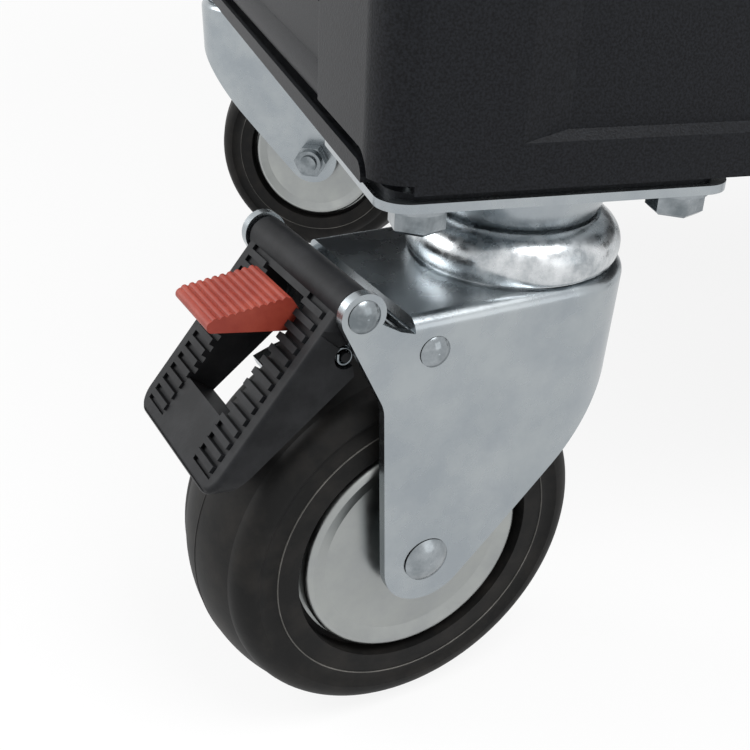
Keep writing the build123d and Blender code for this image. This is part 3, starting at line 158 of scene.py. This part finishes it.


# The finishes by slot. After its name, a coat has its dark colour (painted shade in the pebbles' pits) and
# its light colour, roughness and pebble in mm.
# A moulding has its colour, dusty colour, roughness, shine and grain in mm. A metal has its dark and light
# colours, least and most roughness, cloud in mm and, where it isn't the usual one, the depth of its dents.
materials = {
    # Powder coat on the sheet steel of the cabinet: pebbled, with soft broken highlights and painted shade in
    # the pits
    "black_powder_coat": powder_coat("textured_black_powder_coat_pit_shade", "0c0d10", "1b1d21", 0.46, 0.7),
    # Paint baked on a bent steel tube: smoother than the sheet, with a longer highlight and faint painted
    # shade in its pebbles' pits
    "black_tube_paint": powder_coat("satin_black_tube_paint_pit_shade", "151518", "1e1e21", 0.42, 1.0),
    # Injection-moulded ABS: an even satin with a fine grain from the mould
    "black_moulding": moulding("black_abs_moulding", "1b1b1d", "252527", 0.5, 0.3, 0.9),
    # Moulded rubber sheet: matt, and greyed where dust lies
    "black_rubber_mat": moulding("black_rubber_mat", "181818", "262625", 0.75, 0.2, 1.4),
    # Moulded glass-filled nylon: matt black, greyed by fibres at its skin
    "pedal_plastic": moulding("black_glass_filled_nylon", "151618", "242527", 0.5, 0.14, 0.9),
    # Moulded red nylon: one even colour, half glossy
    "red_plastic": moulding("red_nylon", "823024", "923f30", 0.45, 0.3, 0.9),
    # Moulded solid rubber: matt black, browned in dusty patches
    "tyre_rubber": moulding("solid_black_rubber", "121212", "23211f", 0.55, 0.16, 1.3),
    # Thin skin of rubber squeezed out at the joint of the mould: painted pale all over as the glint along its
    # edge, with dust lying on it in patches
    "rubber_flash": moulding("pale_rubber_flash_painted_glint", "4e4d4a", "6f6d69", 0.6, 0.3, 1.3),
    # Zinc plate on deep pressed steel: bluish, with clear and slightly cloudy reflections
    "zinc_plate": plated_metal("zinc_plated_pressing", "9aa1a6", "a9afb2", 0.24, 0.3, 22),
    # Zinc plate on rolled steel strip: an even dull grey
    "zinc_sheet": plated_metal("zinc_plated_sheet", "a2a7ab", "b2b6b9", 0.34, 0.46, 30),
    # Zinc plate on a pressed disc: warmer, with soft reflections
    "zinc_hub": plated_metal("zinc_plated_disc", "989b9b", "a5a8a6", 0.28, 0.4, 18),
    # Zinc plate on a rolled ring: bright, with uneven dark and light patches painted in as reflections
    "bright_zinc": plated_metal("bright_zinc_ring_painted_reflections", "9aa0a4", "dadddf", 0.18, 0.34, 9, 0.09),
    # Zinc plate on cold-headed bolts and rivets: darker, with small dents, and dark and light clouds about a
    # facet across that paint reflections, one facet darker than the next
    "zinc_fasteners": plated_metal("zinc_plated_fastener_painted_reflections", "6f767a", "9aa0a4", 0.14, 0.26, 8, 0.06),
    # Nickel plate on a die casting: a warm white metal
    "lock_metal": plated_metal("nickel_plated_lock", "b0afa9", "c8c7c1", 0.2, 0.3, 12),
    # Anodised extruded aluminium: a neutral, even satin
    "pull_aluminium": plated_metal("satin_anodised_aluminium", "a2a3a5", "b1b2b4", 0.34, 0.42, 30),
}

for entry in frame["record"]["subparts"]:
    node = frame["nodes"][entry["node"]]
    node.data.materials.clear()
    node.data.materials.append(materials[entry["material_slot"]])


def ring_round_axle(name, joint, finish, radius, across, half_width, stand):
    """A thin moulding line round a wheel: an oval section carried round the axle.

    A point is the wheel's centre, plus the radius and the stand times the section's cosine along the
    spoke, plus the offset across and the half width times the section's sine along the axle.
    """
    axle = np.array(joint["axis"]) / np.linalg.norm(joint["axis"])
    upward = np.array((0.0, 0.0, 1.0))
    ahead = np.cross(upward, axle)
    turn = np.linspace(0, 2 * np.pi, ROUND_STEPS, endpoint=False)[:, None, None]
    section = np.linspace(0, 2 * np.pi, SECTION_STEPS, endpoint=False)[None, :, None]
    spoke = np.cos(turn) * ahead + np.sin(turn) * upward
    reach = radius + stand * np.cos(section)
    points = np.array(joint["pos_m"]) + reach * spoke + (across + half_width * np.sin(section)) * axle
    number = np.arange(ROUND_STEPS * SECTION_STEPS).reshape(ROUND_STEPS, SECTION_STEPS)
    onward = np.roll(number, -1, axis=0)
    faces = np.stack((number, onward, np.roll(onward, -1, axis=1), np.roll(number, -1, axis=1)), axis=-1)
    mesh = bpy.data.meshes.new(name)
    mesh.from_pydata(points.reshape(-1, 3).tolist(), [], faces.reshape(-1, 4).tolist())
    mesh.polygons.foreach_set("use_smooth", np.ones(len(mesh.polygons), dtype=bool))
    mesh.materials.append(materials[finish])
    ring = bpy.data.objects.new(name, mesh)
    bpy.context.collection.objects.link(ring)
    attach(ring, joint["child"])


for joint in frame["joints"]:
    if joint["name"].endswith("_roll"):
        wheel = joint["child"]
        parting = (WHEEL_RADIUS, 0, PARTING_HALF_WIDTH, PARTING_STAND)
        ring_round_axle(f"{wheel}_parting_line", joint, "tyre_rubber", *parting)
        for side, across in (("outer", FLASH_ACROSS), ("inner", -FLASH_ACROSS)):
            flash = (FLASH_RADIUS, across, FLASH_HALF_WIDTH, FLASH_STAND)
            # The flash rings take the pale rubber: a painted glint along the flash
            ring_round_axle(f"{wheel}_flash_{side}", joint, "rubber_flash", *flash)


# Floor and surroundings: lit as pale grey, but plain white to the eye, in mirrors and through glass
def white_where_seen(tree, lit, plain, share):
    """Gives a share of white to camera, glossy and transmission rays, and the lit shader to the rest."""
    path = add_node(tree, "ShaderNodeLightPath").outputs
    seen = path["Is Camera Ray"]
    for ray in ("Is Glossy Ray", "Is Transmission Ray"):
        seen = add_node(tree, "ShaderNodeMath", {0: seen, 1: path[ray]}, operation="MAXIMUM").outputs[0]
    seen = add_node(tree, "ShaderNodeMath", {0: seen, 1: share}, operation="MULTIPLY").outputs[0]
    return add_node(tree, "ShaderNodeMixShader", {0: seen, 1: lit, 2: plain}).outputs[0]


# Near the chest part of the floor's light is real, so it keeps a faint shadow; further out it is all white
FLOOR_HALF = 12.0
SHADOW_NEAR = 0.7
SHADOW_FAR = 1.6
NEAR_WHITE = 0.88
floor_mesh = bpy.data.meshes.new("floor")
floor_corners = [(x, y, 0) for x, y in ((-1, -1), (1, -1), (1, 1), (-1, 1))]
floor_mesh.from_pydata((FLOOR_HALF * np.array(floor_corners)).tolist(), [], [(0, 1, 2, 3)])
floor = bpy.data.objects.new("floor", floor_mesh)
bpy.context.collection.objects.link(floor)
floor_paint, tree, shader, where = start_material("pale_studio_floor", {"Roughness": 0.9})
shader.inputs["Base Color"].default_value = srgb("e6e6e6")
distance = add_node(tree, "ShaderNodeVectorMath", {0: where}, operation="LENGTH").outputs["Value"]
fade = {"Value": distance, "From Min": SHADOW_NEAR, "From Max": SHADOW_FAR, "To Min": NEAR_WHITE}
share = add_node(tree, "ShaderNodeMapRange", fade).outputs["Result"]
floor_white = add_node(tree, "ShaderNodeEmission", {"Strength": 1.0}).outputs[0]
surface = white_where_seen(tree, shader.outputs[0], floor_white, share)
tree.links.new(surface, tree.nodes["Material Output"].inputs["Surface"])
floor_mesh.materials.append(floor_paint)

AMBIENT = 0.45
world = bpy.data.worlds.new("studio")
bpy.context.scene.world = world
world.use_nodes = True
sky = world.node_tree
dim = add_node(sky, "ShaderNodeBackground", {"Color": srgb("ffffff"), "Strength": AMBIENT}).outputs[0]
sky_white = add_node(sky, "ShaderNodeBackground", {"Color": srgb("ffffff"), "Strength": 1.0}).outputs[0]
sky.links.new(white_where_seen(sky, dim, sky_white, 1.0), sky.nodes["World Output"].inputs["Surface"])


def softbox(name, place, target, size, watts):
    """A square lamp at a place, facing a target."""
    data = bpy.data.lights.new(name, "AREA")
    data.size = size
    data.energy = watts
    lamp = bpy.data.objects.new(name, data)
    lamp.location = place
    lamp.rotation_euler = (Vector(target) - Vector(place)).to_track_quat("-Z", "Y").to_euler()
    bpy.context.collection.objects.link(lamp)


# All lamps face the braked caster nearest the camera
CASTER = (0.31, 0.2, 0.12)
softbox("overhead_softbox", (0.05, 0.7, 1.3), CASTER, size=0.7, watts=16)
softbox("handle_side_softbox", (1.5, -0.3, 0.9), CASTER, size=1.0, watts=18)
softbox("low_fill", (-0.6, 1.4, 0.5), CASTER, size=0.8, watts=1.5)

camera_data = bpy.data.cameras.new("camera")
camera_data.sensor_width = SENSOR
camera_data.lens = FOCAL_PIXELS / IMAGE_SIZE * SENSOR
camera_data.clip_start = 0.01
camera = bpy.data.objects.new("camera", camera_data)
bpy.context.collection.objects.link(camera)
ahead = Vector((*HEADING, 0)).normalized()
forward = ahead * math.cos(TILT_DOWN) - Vector((0, 0, math.sin(TILT_DOWN)))
level_right = forward.cross(Vector((0, 0, 1))).normalized()
level_up = level_right.cross(forward)
right = level_right * math.cos(ROLL) + level_up * math.sin(ROLL)
up = level_up * math.cos(ROLL) - level_right * math.sin(ROLL)
camera.matrix_world = Matrix.Translation(EYE) @ Matrix((right, up, -forward)).transposed().to_4x4()
bpy.context.scene.camera = camera
bpy.context.scene.view_settings.view_transform = "Standard"
